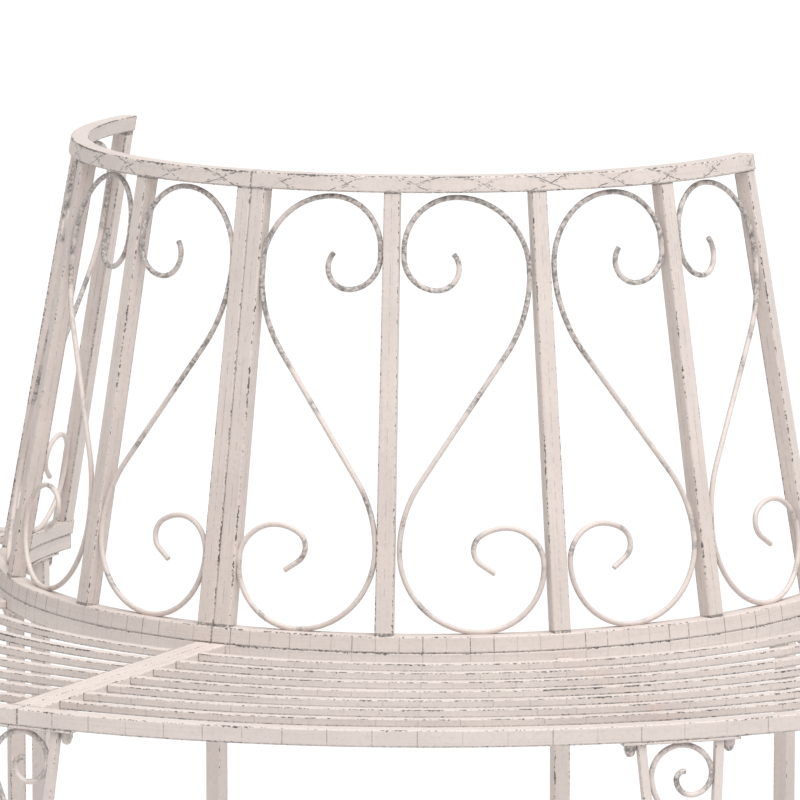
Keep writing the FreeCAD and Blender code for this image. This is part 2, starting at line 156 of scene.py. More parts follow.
def worn_paint(name, dash=0.004, rub=0.55, reach=0.003, crest=0.0, seam=0.0, patches=None,
               grain=0.25, face=0.008, facet_length=0.0, crease_shade_strength=0.8, crosses=0.0):
    """Brushed-on steel paint, an antique cream over dark primer: matt, faintly mottled, rubbed
    off in short dashes along the corners, with thin scratches where pieces were handled. Thin
    lines of painted shade darken the corners underneath, the joints and the bender's creases.

    dash is the length of a dash, rub how much is rubbed off, reach how far from a corner and
    crest how much more on top. seam shows the tube's weld, and patches bares heated rod, by an
    amount that grows between two heights. grain is the strength of the brush's streaks, face the
    way from the bar's middle to its outer face, facet_length the length of the bender's flats
    and crosses the angle between crossed scratches. The piece's own attributes along, across,
    edge, ends and end_face place all of it on the bar."""
    material, tree, shader = new_material(name)
    along = node(tree, "ShaderNodeAttribute", attribute_name="along").outputs["Fac"]
    edge = node(tree, "ShaderNodeAttribute", attribute_name="edge").outputs["Fac"]
    ends = node(tree, "ShaderNodeAttribute", attribute_name="ends").outputs["Fac"]
    end_face = node(tree, "ShaderNodeAttribute", attribute_name="end_face").outputs["Fac"]
    across = node(tree, "ShaderNodeAttribute", attribute_name="across").outputs["Vector"]
    place = node(tree, "ShaderNodeTexCoord").outputs["Object"]
    side = node(tree, "ShaderNodeSeparateXYZ", {0: across})
    out, up = side.outputs[0], side.outputs[1]

    def add(first, second):
        return math_node(tree, "ADD", first, second)

    def less(first, second):
        return math_node(tree, "SUBTRACT", first, second)

    def times(first, second):
        return math_node(tree, "MULTIPLY", first, second)

    def most(first, second):
        return math_node(tree, "MAXIMUM", first, second)

    def size_of(value):
        return math_node(tree, "ABSOLUTE", value)

    def swing(value, spread):
        return times(less(value, 0.5), spread)

    def noise(vector, size, detail=2.0, roughness=0.5):
        return node(tree, "ShaderNodeTexNoise", {"Vector": vector, "Scale": 1 / size, "Detail": detail,
                                                 "Roughness": roughness}).outputs["Fac"]

    def streaks(length, width, detail=2.0, roughness=0.5):
        """Noise stretched along the bar."""
        stretched = node(tree, "ShaderNodeCombineXYZ", {0: times(along, 1 / length),
                                                        1: times(out, 1 / width),
                                                        2: times(up, 1 / width)})
        return noise(stretched, 1.0, detail, roughness)

    # Paint comes off the corners in dashes a few millimetres long, in some stretches more
    fleck_size, dash_width = 0.0024, 0.002
    stretch_length, stretch_width, region_size = 12 * dash, 0.05, 0.16
    fine = noise(place, fleck_size, 2.0, 0.6)
    level = add(swing(streaks(dash, dash_width, 3.0, 0.6), 2.0),
                swing(streaks(stretch_length, stretch_width, 1.0), 1.0))
    level = add(level, add(swing(fine, 1.6), swing(noise(place, region_size, 1.0), 0.9)))
    if crest:
        level = add(level, ramp(tree, up, 0.0, 0.004, 0.0, crest))
    level = less(level, times(edge, 1 / reach))
    # The mask below gathers the rubbed-off paint, and the painted shade lines that follow join it
    worn = ramp(tree, level, 0.58 - rub, 0.74 - rub)

    # The corners underneath get painted shade and are brushed thin, and keep a darker line
    lower_shade_and_wear = times(ramp(tree, edge, 0.0019, 0.0010), ramp(tree, up, 0.0, -0.002))
    worn = most(worn, times(lower_shade_and_wear, ramp(tree, fine, 0.35, 0.60, 0.12, 0.42)))
    if seam:
        # The tube's weld runs down the middle of its faces and shows as a thin broken line
        middle = math_node(tree, "MINIMUM", size_of(out), size_of(up))
        traced = times(ramp(tree, middle, 0.0006, 0.0002),
                       ramp(tree, streaks(0.012, 0.02, 3.0, 0.7), 0.47, 0.55))
        worn = most(worn, times(traced, seam))

    # Welded and cut ends keep a thin broken line of painted contact shade and grime round the piece,
    # and specks lie all over
    joint_shade_and_grime_strength, speck_size, speck_strength = 0.75, 0.003, 0.35
    joint_shade_and_grime = times(ramp(tree, ends, 0.0014, 0.0006), ramp(tree, fine, 0.34, 0.48))
    worn = most(worn, times(times(joint_shade_and_grime, less(1.0, end_face)), joint_shade_and_grime_strength))
    worn = most(worn, times(ramp(tree, noise(place, speck_size, 3.0, 0.7), 0.66, 0.72), speck_strength))

    # Painted crease shade and long scratches show on the outer face, by the angle from the seam
    outer_face = ramp(tree, out, face - 0.0014, face - 0.0006)
    if facet_length or crosses:
        about = node(tree, "ShaderNodeVectorMath", {0: place, 1: axis}, operation="SUBTRACT")
        about = node(tree, "ShaderNodeSeparateXYZ", {0: about}).outputs
        turned = math_node(tree, "ARCTAN2", about[0], times(about[1], -1.0))
    if facet_length:
        # A bender leaves short flats, a little shorter towards both ends of a quarter, and a fine line
        # of painted shade marks each crease between them
        from_seam = size_of(times(turned, 180 / pi))
        turn = 0.0
        for low, high, flats in facet_runs:
            turn = add(turn, node(tree, "ShaderNodeMapRange", {"Value": from_seam, "From Min": low,
                                                               "From Max": high, "To Max": flats}))
        from_middle = times(size_of(swing(math_node(tree, "FRACT", turn), 1.0)), facet_length)
        from_axis = math_node(tree, "POWER", add(times(about[0], about[0]), times(about[1], about[1])),
                              0.5)
        bar_spacing = 0.02
        which = node(tree, "ShaderNodeCombineXYZ", {
            0: times(math_node(tree, "ROUND", turn), math_node(tree, "SIGN", turned)),
            1: math_node(tree, "ROUND", times(from_axis, 1 / bar_spacing))})
        chance = node(tree, "ShaderNodeTexWhiteNoise", {"Vector": which}, noise_dimensions="2D")
        shown = ramp(tree, chance.outputs["Value"], 0.1, 0.8, 0.3, 1.0)
        # The painted shade line at each crease, broken up at random
        line = ramp(tree, from_middle, facet_length / 2 - 0.0007, facet_length / 2 - 0.0002)
        line = times(times(times(line, shown), ramp(tree, fine, 0.30, 0.45)), outer_face)
        worn = most(worn, times(line, crease_shade_strength))
    if crosses:
        # Crossed scratches run between the rail's edges, as packing straps leave them, each with
        # a fainter one beside it
        scratch_height, second_scratch, scratch_strength = 0.0085, 0.002, 0.85
        turn = times(turned, 1 / radians(crosses))
        half = times(size_of(swing(math_node(tree, "FRACT", turn), 1.0)), 2.0)
        path = times(times(half, less(2.0, half)), scratch_height)
        height = size_of(add(up, swing(noise(place, 0.011, 2.0), 0.006)))
        gap = size_of(less(height, path))
        beside = times(ramp(tree, size_of(less(gap, second_scratch)), 0.0007, 0.0002),
                       ramp(tree, streaks(0.008, 0.004, 2.0), 0.54, 0.60))
        broken = times(ramp(tree, streaks(0.05, 0.1, 1.0), 0.34, 0.46),
                       ramp(tree, streaks(0.005, 0.004, 3.0, 0.7), 0.44, 0.52))
        stroke = times(most(ramp(tree, gap, 0.0009, 0.0003), beside), broken)
        worn = most(worn, times(times(stroke, outer_face), scratch_strength))

    # The cream itself varies in broad clouds, fine mottles and the brush's streaks
    clouds = ramp(tree, noise(place, 0.07, 3.0), 0.35, 0.70)
    base = mixed(tree, clouds, paint("#DACFC8"), paint("#D4C8C2"))
    mottle = add(times(ramp(tree, noise(place, 0.0038, 3.0), 0.45, 0.75), 0.30),
                 times(ramp(tree, streaks(0.12, 0.0012, 2.0), 0.52, 0.70), grain))
    base = mixed(tree, mottle, base, paint("#BFB3AF"))
    if patches:
        # Bent rod scales where it was heated, and the paint wipes thin over the grey metal there
        amount, low, high = patches
        height = node(tree, "ShaderNodeSeparateXYZ", {0: place}).outputs[2]
        handled = add(noise(place, 0.030, 2.0, 0.5), ramp(tree, height, low, high, 0.0, amount))
        speckle = ramp(tree, noise(place, 0.0036, 3.0, 0.7), 0.40, 0.56, 0.15, 1.0)
        scale = ramp(tree, noise(place, 0.007), 0.35, 0.65)
        silver = mixed(tree, scale, paint("#7E7A77"), paint("#A6A19E"))
        base = mixed(tree, times(ramp(tree, handled, 0.53, 0.70), speckle), base, silver)
    primer = ramp(tree, noise(place, 0.004), 0.3, 0.7)
    # The dark colour under the rubbed paint also colours the painted shade lines
    bare_and_shade = mixed(tree, primer, paint("#4C4845"), paint("#7E7874"))
    tree.links.new(mixed(tree, worn, base, bare_and_shade), shader["Base Color"])
    tree.links.new(ramp(tree, worn, 0.0, 1.0, 0.52, 0.42).outputs[0], shader["Roughness"])

    brushed = add(times(noise(place, 0.002, 2.0), 0.25), times(worn, -0.6))
    bump = node(tree, "ShaderNodeBump", {"Height": brushed, "Strength": 0.30, "Distance": 0.0002})
    tree.links.new(bump.outputs[0], shader["Normal"])
    return material


def corner_section(width, height, corner, lean=(0.0, 1.0)):
    """Section of a square tube as points, each with its place across the tube and its distance
    to the middle of the nearest corner. Each flat has a point beside each bend and one in its
    middle. A lean slants the upright sides and leaves the top and the bottom level."""
    points = []
    flats = (width / 2 - corner, height / 2 - corner)
    beside_bend = 0.0006
    for quarter in range(4):
        sign_x = 1 if quarter in (0, 3) else -1
        sign_y = 1 if quarter in (0, 1) else -1
        for step in range(corner_steps + 1):
            turn = radians(90 * quarter + 90 * step / corner_steps)
            bend = corner * abs(radians(90 * step / corner_steps - 45))
            points.append((sign_x * flats[0] + corner * cos(turn),
                           sign_y * flats[1] + corner * sin(turn), bend))
        x, y, bend = points[-1]
        run = flats[0] if quarter in (0, 2) else flats[1]
        beside = min(beside_bend, run / 3)
        for share in (beside, run, 2 * run - beside):
            step_x, step_y = ((-share, 0), (0, -share), (share, 0), (0, share))[quarter]
            points.append((x + step_x, y + step_y, bend + min(share, 2 * run - share)))
    return [(x - y * lean[0], y * lean[1], (x, y, 0.0), edge)
            for x, y, edge in points]


def section_loop(points):
    """Section as a closed loop of edges, for the node tree that sweeps it. The sweep turns the
    loop's second direction downwards."""
    mesh = bpy.data.meshes.new("section")
    size = len(points)
    mesh.from_pydata([(x, -y, 0) for x, y, _, _ in points],
                     [(number, (number + 1) % size) for number in range(size)], [])
    mesh.attributes.new("across", "FLOAT_VECTOR", "POINT").data.foreach_set(
        "vector", [c for point in points for c in point[2]])
    mesh.attributes.new("edge", "FLOAT", "POINT").data.foreach_set(
        "value", [point[3] for point in points])
    loop = bpy.data.objects.new("section", mesh)
    bpy.context.collection.objects.link(loop)
    return loop


def new_tree(name, sockets):
    """Empty geometry tree with its named inputs."""
    tree = bpy.data.node_groups.new(name, "GeometryNodeTree")
    for socket, kind in sockets:
        tree.interface.new_socket(socket, in_out="INPUT", socket_type="NodeSocket" + kind)
    tree.interface.new_socket("Geometry", in_out="OUTPUT", socket_type="NodeSocketGeometry")
    return tree


def close_tree(tree, geometry, finish):
    """Every tree ends as one plain mesh with its material set."""
    real = node(tree, "GeometryNodeRealizeInstances", {0: geometry})
    faced = node(tree, "GeometryNodeSetMaterial", {"Geometry": real, "Material": finish})
    node(tree, "NodeGroupOutput", {0: faced})


bent_bar = new_tree("bent bar", (("Section", "Object"), ("Radius", "Float"), ("Start", "Float"),
                                 ("Sweep", "Float"), ("Steps", "Int"), ("Centre", "Vector"),
                                 ("Wear start", "Float"), ("Finish", "Material")))
# Each bar reads its wear from a place of its own on, so no two are rubbed alike
wear_starts = count(0.0, 1.7)
sizes = node(bent_bar, "NodeGroupInput").outputs
arc = node(bent_bar, "GeometryNodeCurveArc", {"Resolution": sizes["Steps"], "Radius": sizes["Radius"],
                                              "Start Angle": sizes["Start"],
                                              "Sweep Angle": sizes["Sweep"]}, mode="RADIUS")
spline = node(bent_bar, "GeometryNodeSplineParameter").outputs
measured = node(bent_bar, "GeometryNodeStoreNamedAttribute",
                {"Geometry": arc, "Name": "along",
                 "Value": math_node(bent_bar, "ADD", spline["Length"], sizes["Wear start"])},
                data_type="FLOAT")
from_end = math_node(bent_bar, "SUBTRACT", 1.0, spline["Factor"])
nearest = math_node(bent_bar, "MINIMUM", spline["Factor"], from_end)
whole = math_node(bent_bar, "MULTIPLY", sizes["Radius"], sizes["Sweep"])
measured = node(bent_bar, "GeometryNodeStoreNamedAttribute",
                {"Geometry": measured, "Name": "ends",
                 "Value": math_node(bent_bar, "MULTIPLY", nearest, whole)}, data_type="FLOAT")
loop_info = node(bent_bar, "GeometryNodeObjectInfo", {"Object": sizes["Section"]})
profile = node(bent_bar, "GeometryNodeMeshToCurve", {0: loop_info.outputs["Geometry"]})
swept = node(bent_bar, "GeometryNodeCurveToMesh", {"Curve": measured, "Profile Curve": profile,
                                                   "Fill Caps": True})
smooth = node(bent_bar, "GeometryNodeSetShadeSmooth", {"Geometry": swept})
placed = node(bent_bar, "GeometryNodeTransform", {"Geometry": smooth, "Translation": sizes["Centre"]})
close_tree(bent_bar, placed, sizes["Finish"])


def from_tree(name, tree, values):
    """Piece that a node tree makes, turned into a plain mesh."""
    piece = bpy.data.objects.new(name, bpy.data.meshes.new(name))
    bpy.context.collection.objects.link(piece)
    modifier = piece.modifiers.new("make", "NODES")
    modifier.node_group = tree
    for item in tree.interface.items_tree:
        if item.in_out == "INPUT":
            modifier[item.identifier] = values[item.name]
    graph = bpy.context.evaluated_depsgraph_get()
    mesh = bpy.data.meshes.new_from_object(piece.evaluated_get(graph), preserve_all_data_layers=True,
                                           depsgraph=graph)
    piece.modifiers.clear()
    piece.data = mesh
    tidy_faces(mesh)
    return piece


def tidy_faces(mesh):
    """Turns the faces outwards, and marks the end faces and keeps them flat."""
    side_face_corners = 4
    shape = bmesh.new()
    shape.from_mesh(mesh)
    bmesh.ops.recalc_face_normals(shape, faces=shape.faces)
    end_face = shape.faces.layers.float.new("end_face")
    for face in shape.faces:
        if len(face.verts) > side_face_corners:
            face.smooth = False
            face[end_face] = 1.0
            for border in face.edges:
                border.smooth = False
    shape.to_mesh(mesh)
    shape.free()


def bent_piece(name, section, radius, height, start, sweep, finish, aside=0.0, steps=bend_steps):
    """Bar bent about the axis. Its ends are cut square, each beside its angle by the distance
    aside along the round."""
    end_depth = 0.0004
    loop = section_loop(section)
    short = asin(aside / radius)
    piece = from_tree(name, bent_bar, {
        "Section": loop, "Radius": radius, "Start": radians(start - 90) + short,
        "Sweep": radians(sweep) - 2 * short, "Steps": steps,
        "Centre": axis + Vector((0, 0, height)), "Wear start": next(wear_starts), "Finish": finish})
    bpy.data.objects.remove(loop)
    for angle, cut in ((start, aside), (start + sweep, -aside)):
        along = tangent(angle)
        for vertex in piece.data.vertices:
            away = (vertex.co - axis).dot(along) - cut
            if abs(away) < end_depth and (vertex.co - axis).dot(radial(angle)) > 0:
                vertex.co -= along * away
    return piece


def settle(piece, slot, *nodes):
    """The piece stands for its CAD nodes, on the bench's one body."""
    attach(piece, "root")
    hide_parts(*nodes)


rail_section = corner_section(rail_tube, rail_height, rail_corner, (lean_sin, lean_cos))
inset = rail_tube / 2 + rail_height / 2 * lean_sin
rise = rail_height / 2 * lean_cos
top_rail_middle = top_rail_radius - inset
bottom_rail_middle = ring_radius - inset
top_rail_paint = worn_paint("scratched cream paint", dash=0.003, rub=0.54, crest=0.22,
                            face=rail_tube / 2, crosses=10.4)
bottom_rail_paint = worn_paint("ribbed cream paint", rub=0.60, face=rail_tube / 2,
                               facet_length=bottom_rail_middle * radians(facet_angle))
modules = (("right", 0, 1), ("left", -90, -1))
for side, start, _ in modules:
    top_rail = bent_piece(f"{side}_top_rail_tube", rail_section, top_rail_middle,
                          seat_height + top_rail_rise + rise, start, 90, top_rail_paint)
    settle(top_rail, "frame_paint", f"{side}_top_rail")
    bottom_rail = bent_piece(f"{side}_bottom_rail_tube", rail_section, bottom_rail_middle,
                             seat_height + rise, start, 90, bottom_rail_paint)
    settle(bottom_rail, "frame_paint", f"{side}_bottom_rail")


# The seat frame: a ring and a rim of square tube, rolled to circles about the same axis, and
# straight tubes between them at the seam and at both open ends. A thinner bar crosses under the
# slats in the middle of each quarter. All are welded and painted together.
seat_tube = 0.016
seat_corner = 0.0014
rim_radius = 0.800
slat_height = 0.0075
frame_middle = seat_height - seat_tube / 2
ring_middle = ring_radius - seat_tube / 2
rim_middle = rim_radius - seat_tube / 2


def lofted(name, stations, finish):
    """Straight bar through its sections. A station is a section, the function that places a
    point of it, the length so far and the distance to the nearest end."""
    size = len(stations[0][0])
    points = [place(x, y) for section, place, _, _ in stations for x, y, _, _ in section]
    faces = [(ring * size + number, ring * size + (number + 1) % size,
              (ring + 1) * size + (number + 1) % size, (ring + 1) * size + number)
             for ring in range(len(stations) - 1) for number in range(size)]
    faces.append(tuple(range(size)))
    faces.append(tuple(range(len(points) - size, len(points))))
    mesh = bpy.data.meshes.new(name)
    mesh.from_pydata(points, [], faces)
    mesh.materials.append(finish)
    mesh.polygons.foreach_set("use_smooth", [True] * len(faces))
    mesh.attributes.new("across", "FLOAT_VECTOR", "POINT").data.foreach_set(
        "vector", [c for station in stations for point in station[0] for c in point[2]])
    mesh.attributes.new("edge", "FLOAT", "POINT").data.foreach_set(
        "value", [point[3] for station in stations for point in station[0]])
    wear_start = next(wear_starts)
    for item, key, shift in ((2, "along", wear_start), (3, "ends", 0.0)):
        mesh.attributes.new(key, "FLOAT", "POINT").data.foreach_set(
            "value", [station[item] + shift for station in stations for _ in range(size)])
    tidy_faces(mesh)
    piece = bpy.data.objects.new(name, mesh)
    bpy.context.collection.objects.link(piece)
    return piece


def bearer(name, angle, left, right, bottom, top):
    """Radial tube whose ends follow the round faces that they are welded to."""
    section = corner_section(right - left, top - bottom, seat_corner)
    outer_radius = rim_radius - seat_tube

    def follow(radius):
        def place(x, y):
            side = (left + right) / 2 + x
            return (place_at(angle, (radius ** 2 - side ** 2) ** 0.5, (bottom + top) / 2 + y)
                    + tangent(angle) * side)
        return place

    half = (outer_radius - ring_radius) / 2
    return lofted(name, [(section, follow(ring_radius), 0, 0),
                         (section, follow(ring_radius + half), half, half),
                         (section, follow(outer_radius), 2 * half, 0)], tube_paint)


tube_section = corner_section(seat_tube, seat_tube, seat_corner)
tube_paint = worn_paint("worn cream paint", seam=0.4)
ring_paint = worn_paint("rubbed cream ring paint", rub=0.58, crease_shade_strength=0.3,
                        facet_length=ring_middle * radians(facet_angle))
rim_paint = worn_paint("ribbed cream rim paint", rub=0.55, crease_shade_strength=0.6,
                       facet_length=rim_middle * radians(facet_angle))
frame_bottom = seat_height - seat_tube
for side, start, sign in modules:
    ring = bent_piece(f"{side}_seat_ring_tube", tube_section, ring_middle, frame_middle, start, 90,
                      ring_paint)
    settle(ring, "frame_paint", f"{side}_seat_ring")
    rim = bent_piece(f"{side}_seat_rim_tube", tube_section, rim_middle, frame_middle, start, 90,
                     rim_paint)
    settle(rim, "frame_paint", f"{side}_seat_rim")
    near, far = (0, seat_tube) if sign > 0 else (-seat_tube, 0)
    settle(bearer(f"{side}_seam_tube", 0, near, far, frame_bottom, seat_height),
           "frame_paint", f"{side}_seam_bearer")
    settle(bearer(f"{side}_end_tube", sign * 90, -far, -near, frame_bottom, seat_height),
           "frame_paint", f"{side}_end_bearer")
    settle(bearer(f"{side}_middle_bar", sign * 45, -seat_tube / 2, seat_tube / 2, frame_bottom,
                  seat_height - slat_height),
           "frame_paint", f"{side}_middle_bearer")


# The seat slats: small flat bars bent to the round, with square ends welded to the sides of the
# radial tubes. People sit here, so the outer top corners are rubbed most.
slat_count = 7
slat_width = 0.010
slat_corner = 0.0009
slat_pitch = (rim_radius - seat_tube - ring_radius) / (slat_count + 1)
slat_section = corner_section(slat_width, slat_height, slat_corner)
slat_paint = worn_paint("rubbed cream slat paint", dash=0.006, rub=0.72, reach=0.0022,
                        face=slat_width / 2, crease_shade_strength=0.3,
                        facet_length=(ring_radius + rim_radius) / 2 * radians(facet_angle))
for side, start, _ in modules:
    for number in range(1, slat_count + 1):
        middle = ring_radius + number * slat_pitch + slat_width / 2
        slat = bent_piece(f"{side}_slat_bar_{number}", slat_section, middle,
                          seat_height - slat_height / 2, start, 90, slat_paint, aside=seat_tube)
        settle(slat, "slat_paint", f"{side}_seat_slat_{number}")


# The back posts: square tubes that taper a little towards the top, between the two back rails,
# with one face square to the back. Two stand side by side at the seam.
bay_count = 4
post_depth = 0.016
post_foot_width = 0.018
post_head_width = 0.0155
post_round = 0.0019
post_paint = worn_paint("worn cream post paint", rub=0.62, seam=0.3, grain=0.3)


def back_place(angle, along, up, inward):
    """Point on the leaning back: along the round, up the slope and in from the outer face."""
    slope = Vector((0, 0, lean_cos)) - radial(angle) * lean_sin
    outward = radial(angle) * lean_cos + Vector((0, 0, lean_sin))
    return (place_at(angle, ring_radius, seat_height) + tangent(angle) * along + slope * up
            - outward * inward)


def back_post(name, angle, lean_to):
    """Post on its angle, or with one side on it: lean_to is -1, 0 or 1."""
    bite = 0.005
    stations = []
    clear = back_slope - rail_tube
    for up in (rail_tube - bite, rail_tube + clear / 2, back_slope + bite):
        share = (up - rail_tube) / clear
        width = post_foot_width + (post_head_width - post_foot_width) * share
        section = corner_section(width, post_depth, post_round)

        def place(x, y, up=up, width=width):
            return back_place(angle, x + lean_to * width / 2, up, rail_tube / 2 - y)

        stations.append((section, place, up, min(up - rail_tube, back_slope - up)))
    return lofted(name, stations, post_paint)


for side, _, sign in modules:
    for number in range(bay_count + 1):
        lean_to = {0: sign, bay_count: -sign}.get(number, 0)
        post = back_post(f"{side}_post_tube_{number + 1}", sign * number * 90 / bay_count, lean_to)
        settle(post, "frame_paint", f"{side}_back_post_{number + 1}")


# The back scrolls: round rod bent into an S in one flat plane per bay, welded where it touches
# the rails and the posts. Neighbours are mirror images, so they make pairs. The bends are in
# millimetres, measured in that plane.
rod_radius = 0.0026
rod_sides = 16
bend_degrees = 3
straight_step = 12
plane_radius = 0.4339
plane_height = 0.449
plane_lean = atan((ring_radius - top_rail_radius) * cos(radians(45 / bay_count)) / top_rail_rise)
rod_side_foot = 72.5
rod_side_slant = 0.0324
scroll_top = 436.2
scroll_bottom = 18.6
shoulder_radius = 50.8
shoulder_straight = 7.3
hook_radii = (31.9, 21.1)
hook_end_turn = 40.8
flank_drop = 69.3
flank_turn = 46.8
stem_radii = (139.0, 120.0)
lower_flank_radius = 62.2
lower_curl_radii = (36.4, 44.3, 16.8)
lower_curl_turns = (32.0, 113.6)
lower_curl_tail = 16.0
# The bays at both ends of a quarter lose half a post's width, so their scrolls are narrower
end_bay_squeeze = 0.983
end_bay_shift = 3.0
end_bay_splay = 1.7


def walk(start, heading, moves):
    """Points of a bent rod's path in millimetres. A move is a radius, where a left turn is
    positive, and an angle, or no radius and a length."""
    x, y = start
    points = [(x, y)]
    for radius, amount in moves:
        if radius is None:
            pieces, bend = ceil(amount / straight_step), 0
            chord = amount / pieces
        else:
            pieces = ceil(amount / bend_degrees)
            bend = amount / pieces * (1 if radius > 0 else -1)
            chord = 2 * abs(radius) * sin(radians(abs(bend) / 2))
        for _ in range(pieces):
            heading += bend / 2
            x += chord * cos(radians(heading))
            y += chord * sin(radians(heading))
            heading += bend / 2
            points.append((x, y))
    return points


bent_rod = new_tree("bent rod", (("Path", "Object"), ("Radius", "Float"), ("Sides", "Int"),
                                 ("Finish", "Material")))
sizes = node(bent_rod, "NodeGroupInput").outputs
path = node(bent_rod, "GeometryNodeObjectInfo", {"Object": sizes["Path"]})
path = node(bent_rod, "GeometryNodeMeshToCurve", {0: path.outputs["Geometry"]})
spline = node(bent_rod, "GeometryNodeSplineParameter").outputs
path = node(bent_rod, "GeometryNodeStoreNamedAttribute",
            {"Geometry": path, "Name": "along", "Value": spline["Length"]}, data_type="FLOAT")
for key in ("edge", "ends"):
    path = node(bent_rod, "GeometryNodeStoreNamedAttribute",
                {"Geometry": path, "Name": key, "Value": no_edge_near}, data_type="FLOAT")
round_bar = node(bent_rod, "GeometryNodeCurvePrimitiveCircle",
                 {"Resolution": sizes["Sides"], "Radius": sizes["Radius"]}, mode="RADIUS")
swept = node(bent_rod, "GeometryNodeCurveToMesh", {"Curve": path, "Profile Curve": round_bar,
                                                   "Fill Caps": True})
close_tree(bent_rod, node(bent_rod, "GeometryNodeSetShadeSmooth", {"Geometry": swept}),
           sizes["Finish"])


def rod_piece(name, paths, finish):
    """One piece of round rod along each path, which is a list of points."""
    mesh = bpy.data.meshes.new("path")
    points, edges = [], []
    for steps in paths:
        edges += [(len(points) + n, len(points) + n + 1) for n in range(len(steps) - 1)]
        points += steps
    mesh.from_pydata(points, edges, [])
    guide = bpy.data.objects.new("path", mesh)
    bpy.context.collection.objects.link(guide)
    piece = from_tree(name, bent_rod, {"Path": guide, "Radius": rod_radius, "Sides": rod_sides,
                                       "Finish": finish})
    bpy.data.objects.remove(guide)
    return piece


def in_plane(points, origin, across, upward):
    """Points in millimetres on a plane, as places in metres."""
    return [origin + across * (x / 1000) + upward * (y / 1000) for x, y in points]


def leaning(angle, lean):
    """Upward unit vector that leans to the bench's axis."""
    return Vector((0, 0, cos(lean))) - radial(angle) * sin(lean)


def rod_side(height):
    """Where the rod's middle runs beside a post, in millimetres from the middle of the bay."""
    return rod_side_foot - rod_side_slant * height


def stem_moves(start, start_heading, end, end_heading):
    """A left bend, a straight and a right bend that join two places, each with its heading."""
    first, second = stem_radii
    left, right = radians(start_heading + 90), radians(end_heading - 90)
    x = end[0] + second * cos(right) - start[0] - first * cos(left)
    y = end[1] + second * sin(right) - start[1] - first * sin(left)
    straight = (x * x + y * y - (first + second) ** 2) ** 0.5
    heading = degrees(atan2(y, x) + atan2(first + second, straight))
    return [(first, heading - start_heading), (None, straight), (-second, heading - end_heading)]


def scroll_path():
    """Path of a back scroll in millimetres, from the end of its hook to the end of its lower
    curl. It touches the top rail, both posts and the bottom rail."""
    lean = atan(rod_side_slant)
    lean_turn = degrees(lean)
    top_x = rod_side(scroll_top - shoulder_radius * (1 - sin(lean))) - shoulder_radius * cos(lean)
    hook = [(-shoulder_radius, 90 - lean_turn), (None, shoulder_straight),
            (-hook_radii[0], 90 + lean_turn), (-hook_radii[1], 90 + hook_end_turn)]

    # The flank comes down to the far post in two bends
    across_flank = top_x + rod_side(scroll_top - flank_drop)
    half_turn, whole_turn = radians(flank_turn), pi / 2 - lean
    rise = cos(half_turn) - cos(whole_turn)
    reach = sin(whole_turn) - sin(half_turn)
    first_flank = (across_flank * rise - flank_drop * reach) / (
        sin(half_turn) * rise - (1 - cos(half_turn)) * reach)
    second_flank = (across_flank - first_flank * sin(half_turn)) / reach

    # The foot lies against the far post, the bottom rail and the near post
    far_height = scroll_bottom + lower_flank_radius * (1 + sin(lean))
    bottom_x = lower_flank_radius * cos(lean) - rod_side(far_height)
    turn_in = (rod_side(scroll_bottom) - bottom_x) / (cos(lean) + rod_side_slant * (1 + sin(lean)))
    stem_start = (-rod_side(scroll_top - flank_drop), scroll_top - flank_drop)
    stem_height = scroll_bottom + turn_in * (1 + sin(lean))
    stem = [(first_flank, flank_turn), (second_flank, 90 - flank_turn - lean_turn)]
    stem += stem_moves(stem_start, -90 - lean_turn, (rod_side(stem_height), stem_height),
                       -90 + lean_turn)
    stem += [(-turn_in, 90 + lean_turn), (-lower_flank_radius, 90 + lean_turn),
             (-lower_curl_radii[0], 90 - lean_turn), (-lower_curl_radii[1], lower_curl_turns[0]),
             (-lower_curl_radii[2], lower_curl_turns[1]), (None, lower_curl_tail)]
    return walk((top_x, scroll_top), 0, hook)[:0:-1] + walk((top_x, scroll_top), 180, stem)


scroll_paint = worn_paint("patchy cream rod paint", patches=(0.24, 0.62, 0.84))
middle_bay_path = scroll_path()
end_bay_path = [(x * end_bay_squeeze + end_bay_shift + end_bay_splay * (1 - y / scroll_top), y)
                for x, y in middle_bay_path]
for side, _, sign in modules:
    for number in range(1, bay_count + 1):
        flat_path = end_bay_path if number in (1, bay_count) else middle_bay_path
        middle = sign * (number - 0.5) * 90 / bay_count
        hand = sign if number % 2 else -sign
        path = in_plane(flat_path, place_at(middle, plane_radius, plane_height),
                        tangent(middle) * hand, leaning(middle, plane_lean))
        scroll = rod_piece(f"{side}_scroll_rod_{number}", [path], scroll_paint)
        settle(scroll, "scroll_paint", f"{side}_back_scroll_{number}")


# The front legs: a thin plate bolted under the rim, and two square bars that slant together to
# a small round foot. An S scroll of the same rod as the back's fills the gap between the bars.
plate_thickness = 0.0025
plate_middle = frame_bottom - plate_thickness / 2
plate_underside = frame_bottom - plate_thickness
front_plate_length = 0.112
bar_size = 0.008
bar_head_spacing = 0.075
bar_foot_spacing = 0.010
bar_corner = 0.0008
plate_corner = 0.0005
plate_bend_steps = 12
round_sides = 48
front_leg_lean = radians(6.5)
front_foot_radius = 0.0168
front_foot_thickness = 0.005
front_foot_bevel = 0.00125
front_foot_place = rim_middle + (plate_underside - front_foot_thickness) * tan(front_leg_lean)
front_leg_angles = (-82, -45, 0, 44.87, 82)
leg_paint = worn_paint("worn cream leg paint")


def leg_plate(name, angle, middle, length):
    """Thin plate under the seat frame, bent to the round."""
    sweep = length / middle * 180 / pi
    section = corner_section(seat_tube, plate_thickness, plate_corner)
    return bent_piece(name, section, middle, plate_middle, angle - sweep / 2, sweep, leg_paint,
                      steps=plate_bend_steps)


